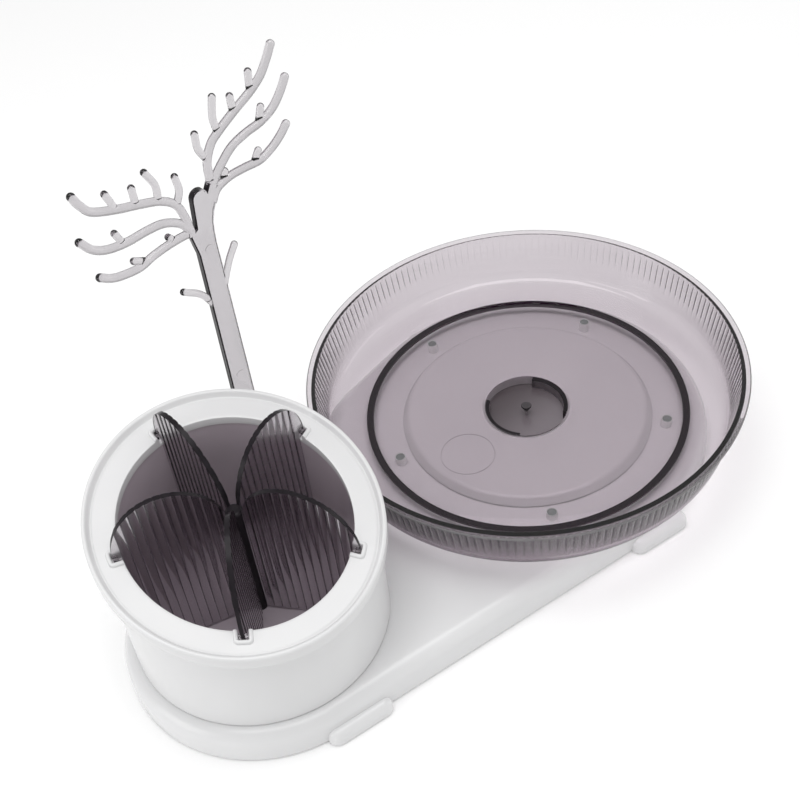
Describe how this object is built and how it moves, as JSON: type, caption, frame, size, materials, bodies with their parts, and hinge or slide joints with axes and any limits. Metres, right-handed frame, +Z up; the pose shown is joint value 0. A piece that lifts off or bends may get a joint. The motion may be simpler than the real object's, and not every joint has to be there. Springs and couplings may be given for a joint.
{
  "type": "rotating makeup organizer",
  "caption": "Vanity organizer on a tapered base: a turning fluted round tray, a turning slant-topped brush cup with a lift-out petal divider, and a plug-in jewellery tree.",
  "frame": {"origin": "on the table under the middle of the overall length and width", "axes": "+X along the length from the brush cup to the round tray; +Y to the back, where the jewellery tree stands; +Z up"},
  "size_m": [0.3973, 0.25, 0.2807],
  "materials": {
    "white_plastic": "gloss moulded plastic",
    "smoke_plastic": "clear plastic with a smoke tint",
    "clear_glide": "milky translucent plastic",
    "slip_plastic": "waxy matt plastic",
    "rubber": "soft matt pads",
    "steel": "zinc plated"
  },
  "bodies": {
    "base": {"base_shell": "white_plastic", "base_bottom": "white_plastic", "base_screws": "steel", "rubber_feet": "rubber", "tray_glides": "clear_glide", "cup_slip_ring": "slip_plastic"},
    "tray": {"tray_dish": "smoke_plastic", "turntable_disc": "white_plastic", "tray_pin_washer": "steel", "tray_pin_screw": "steel"},
    "cup": {"cup_shell": "white_plastic", "cup_top_ring": "white_plastic", "cup_liner": "smoke_plastic", "cup_floor": "white_plastic", "cup_floor_screws": "steel", "cup_pin_washer": "steel", "cup_pin_screw": "steel"},
    "divider": {"divider_petals": "smoke_plastic", "divider_hub": "smoke_plastic"},
    "jewellery_tree": {"jewellery_tree": "smoke_plastic"}
  },
  "joints": [
    {"name": "tray_spin", "type": "hinge", "parent": "base", "child": "tray", "pos_m": [0.07365, 0, 0.02], "axis": [0, 0, 1], "continuous": true},
    {"name": "cup_spin", "type": "hinge", "parent": "base", "child": "cup", "pos_m": [-0.12385, 0, 0.02], "axis": [0, 0, 1], "continuous": true},
    {"name": "divider_lift", "type": "slide", "parent": "cup", "child": "divider", "axis": [0, 0, 1], "range_m": [0, 0.12]},
    {"name": "tree_lift", "type": "slide", "parent": "base", "child": "jewellery_tree", "axis": [0, 0, 1], "range_m": [0, 0.03]}
  ]
}
